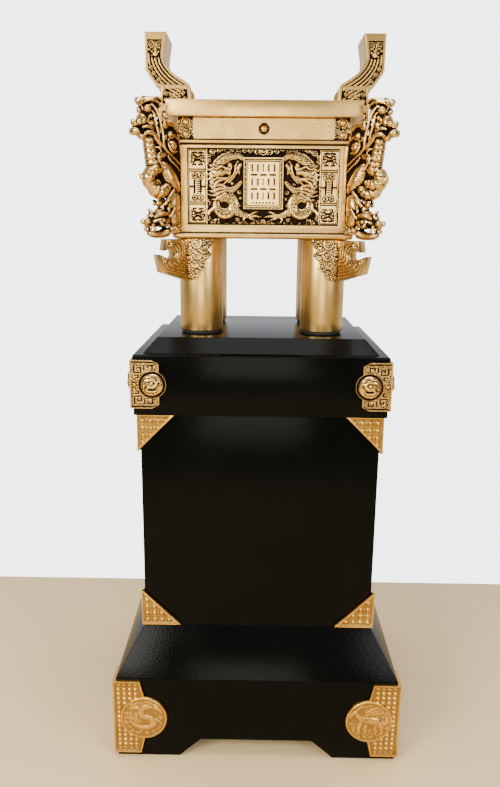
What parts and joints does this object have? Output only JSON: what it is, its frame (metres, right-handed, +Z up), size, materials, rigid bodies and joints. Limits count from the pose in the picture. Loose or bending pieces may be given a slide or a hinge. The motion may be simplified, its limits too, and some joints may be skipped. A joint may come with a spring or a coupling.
{
  "type": "square bronze ding on its lacquered plinth",
  "caption": "Rectangular gilt-bronze ding with upright loop handles, corner dragons and column legs, standing on a stepped black lacquered plinth with gilt corner fittings.",
  "frame": {"origin": "floor level under the centre of the plinth", "axes": "+Z up, +X to the right and +Y to the back of one who faces the front panel"},
  "size_m": [0.7442, 0.6632, 1.8],
  "materials": {
    "satin_bronze": "satin champagne-gold bronze",
    "relief_bronze": "antique gold on black-brown patina",
    "gilt_fitting": "antique gold, satin",
    "black_lacquer": "satin black lacquer with orange-peel texture",
    "foot_pad": "matt black"
  },
  "bodies": {
    "root": {"plinth_base": "black_lacquer", "plinth_column": "black_lacquer", "plinth_cap": "black_lacquer", "base_fitting_front_right": "gilt_fitting", "base_fitting_back_right": "gilt_fitting", "base_fitting_back_left": "gilt_fitting", "base_fitting_front_left": "gilt_fitting", "column_foot_fitting_front_right": "gilt_fitting", "column_foot_fitting_back_right": "gilt_fitting", "column_foot_fitting_back_left": "gilt_fitting", "column_foot_fitting_front_left": "gilt_fitting", "column_top_fitting_front_right": "gilt_fitting", "column_top_fitting_back_right": "gilt_fitting", "column_top_fitting_back_left": "gilt_fitting", "column_top_fitting_front_left": "gilt_fitting", "cap_fitting_front_right": "gilt_fitting", "cap_fitting_back_right": "gilt_fitting", "cap_fitting_back_left": "gilt_fitting", "cap_fitting_front_left": "gilt_fitting", "vessel_body": "satin_bronze", "panel_front": "relief_bronze", "panel_right": "relief_bronze", "panel_back": "relief_bronze", "panel_left": "relief_bronze", "handle_right": "satin_bronze", "handle_left": "satin_bronze", "corner_dragon_front_right": "relief_bronze", "corner_dragon_back_right": "relief_bronze", "corner_dragon_back_left": "relief_bronze", "corner_dragon_front_left": "relief_bronze", "leg_front_right": "satin_bronze", "leg_back_right": "satin_bronze", "leg_back_left": "satin_bronze", "leg_front_left": "satin_bronze", "foot_pad_front_right": "foot_pad", "foot_pad_back_right": "foot_pad", "foot_pad_back_left": "foot_pad", "foot_pad_front_left": "foot_pad", "leg_bracket_front_right": "relief_bronze", "leg_bracket_back_right": "relief_bronze", "leg_bracket_back_left": "relief_bronze", "leg_bracket_front_left": "relief_bronze"}
  },
  "joints": []
}
